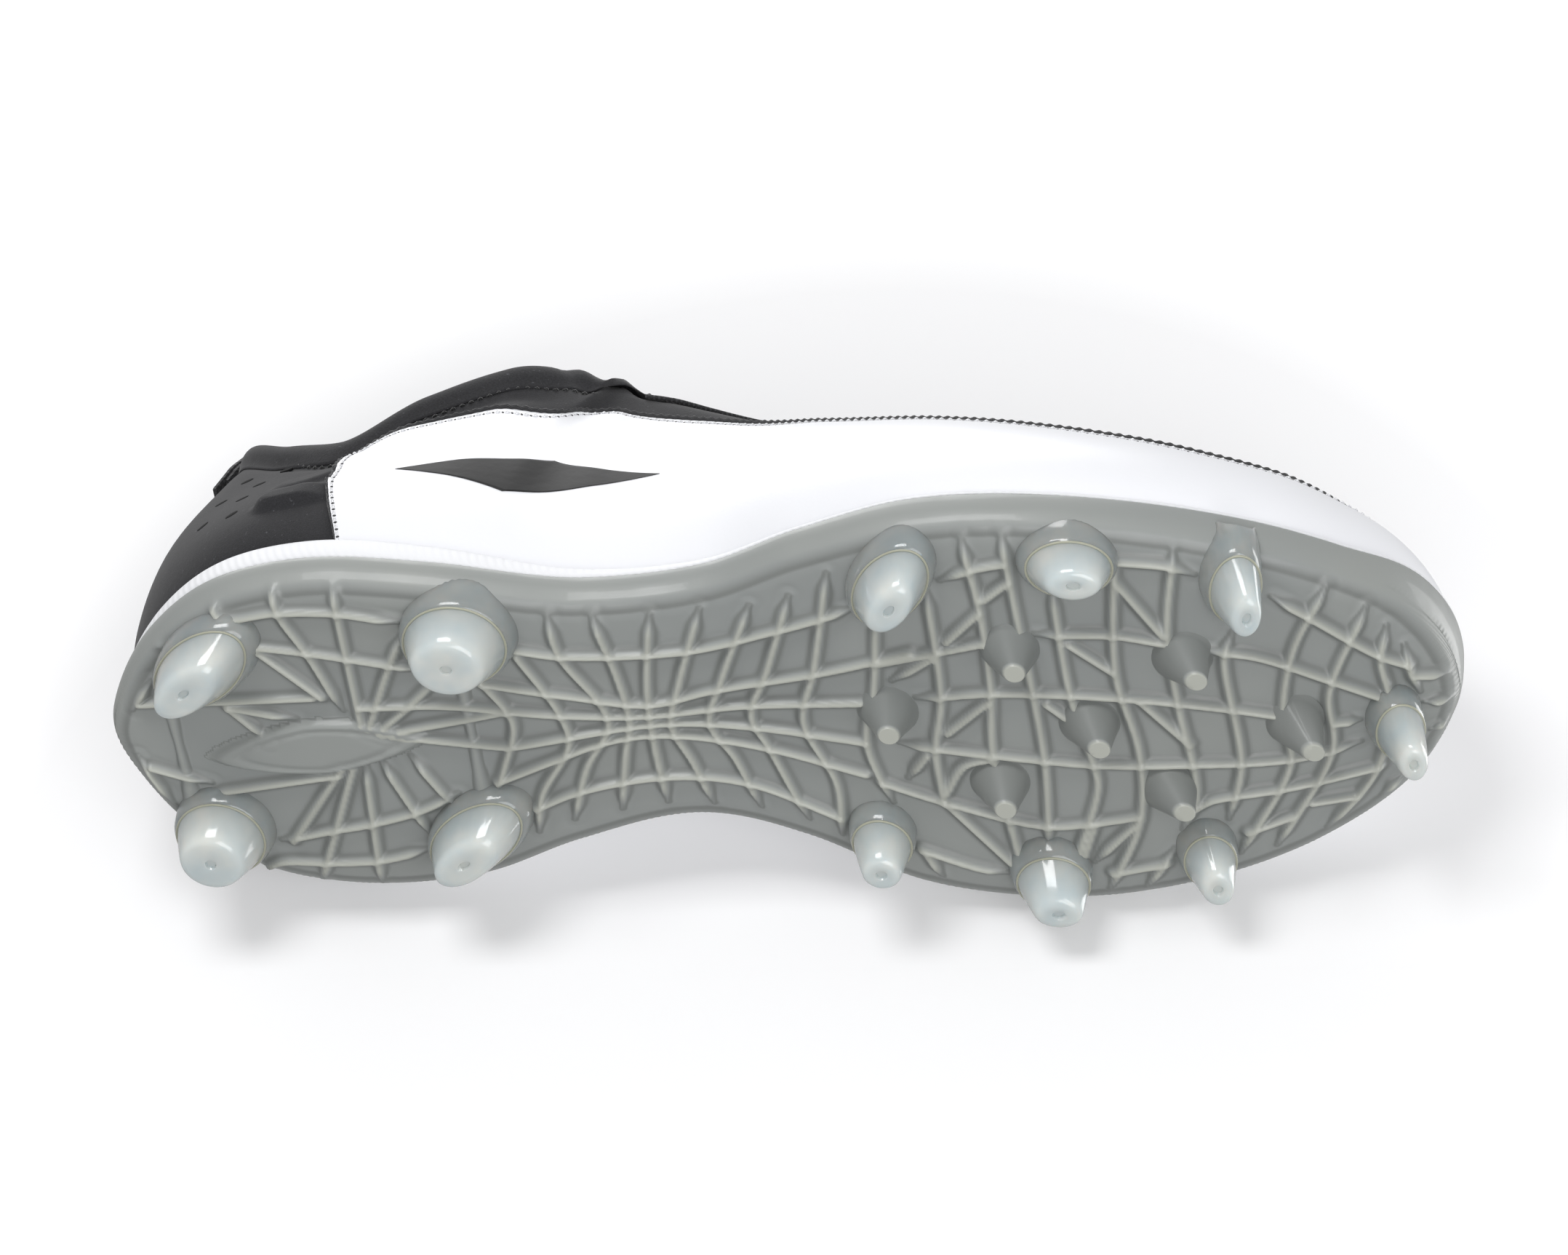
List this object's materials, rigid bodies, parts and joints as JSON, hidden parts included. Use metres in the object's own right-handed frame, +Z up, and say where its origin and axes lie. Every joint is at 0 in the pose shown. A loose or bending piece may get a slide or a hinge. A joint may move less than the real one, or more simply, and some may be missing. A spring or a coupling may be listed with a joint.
{
  "type": "moulded-stud cleat",
  "caption": "Low-cut right-foot cleat: grey ribbed sole plate with clear moulded studs, black stretch bootie, white side wrap, laced throat, folding tongue top and heel pull tab.",
  "frame": {"origin": "on the ground under the middle of the shoe's bounding box, stud tips on z = 0", "axes": "+Z up, toe towards -Y, heel towards +Y, lateral (outer) side towards -X, medial side towards +X"},
  "size_m": [0.1072, 0.2986, 0.1287],
  "materials": {
    "plate_tpu": "moulded grey TPU, satin gloss",
    "stud_clear": "translucent milky TPU, polished",
    "midsole_foam": "white EVA with fine hatching",
    "board": "stitched lasting board",
    "sockliner_cloth": "brushed cloth over foam",
    "lining_mesh": "spacer mesh",
    "bootie_knit": "black stretch cloth over thin foam",
    "wrap_leather": "smooth white synthetic leather",
    "webbing": "woven black webbing",
    "stiffener": "formed sheet",
    "padding": "open foam",
    "tongue_cloth": "padded stretch cloth",
    "lace_cord": "braided flat lace"
  },
  "bodies": {
    "shoe": {"outsole_plate": "plate_tpu", "midsole": "midsole_foam", "lasting_board": "board", "sockliner": "sockliner_cloth", "lining": "lining_mesh", "bootie": "bootie_knit", "wrap": "wrap_leather", "wrap_binding_lateral": "webbing", "wrap_binding_medial": "webbing", "heel_counter": "stiffener", "toe_puff": "stiffener", "collar_foam_lateral": "padding", "collar_foam_medial": "padding", "eyestay_lateral": "webbing", "eyestay_medial": "webbing", "tongue": "tongue_cloth", "lace": "lace_cord", "lace_loop_lateral_1": "webbing", "lace_loop_medial_1": "webbing", "lace_loop_lateral_2": "webbing", "lace_loop_medial_2": "webbing", "lace_loop_lateral_3": "webbing", "lace_loop_medial_3": "webbing", "lace_loop_lateral_4": "webbing", "lace_loop_medial_4": "webbing", "lace_loop_lateral_5": "webbing", "lace_loop_medial_5": "webbing", "stud_heel_lateral_rear": "stud_clear", "stud_heel_lateral_front": "stud_clear", "stud_heel_medial_rear": "stud_clear", "stud_heel_medial_front": "stud_clear", "stud_fore_lateral_rear": "stud_clear", "stud_fore_lateral_mid": "stud_clear", "stud_fore_lateral_front": "stud_clear", "stud_fore_medial_rear": "stud_clear", "stud_fore_medial_mid": "stud_clear", "stud_fore_medial_front": "stud_clear", "stud_toe": "stud_clear"},
    "tongue_top": {"tongue_top": "tongue_cloth"},
    "heel_pull_tab": {"heel_pull_tab": "webbing"}
  },
  "joints": [
    {"name": "tongue_fold", "type": "hinge", "parent": "shoe", "child": "tongue_top", "pos_m": [0.00112, 0.04223, 0.113], "axis": [1, 0, 0], "range_deg": [0, 40]},
    {"name": "pull_tab_flop", "type": "hinge", "parent": "shoe", "child": "heel_pull_tab", "pos_m": [0.00064, 0.1402, 0.1013], "axis": [-1, 0, 0], "range_deg": [0, 60]}
  ]
}
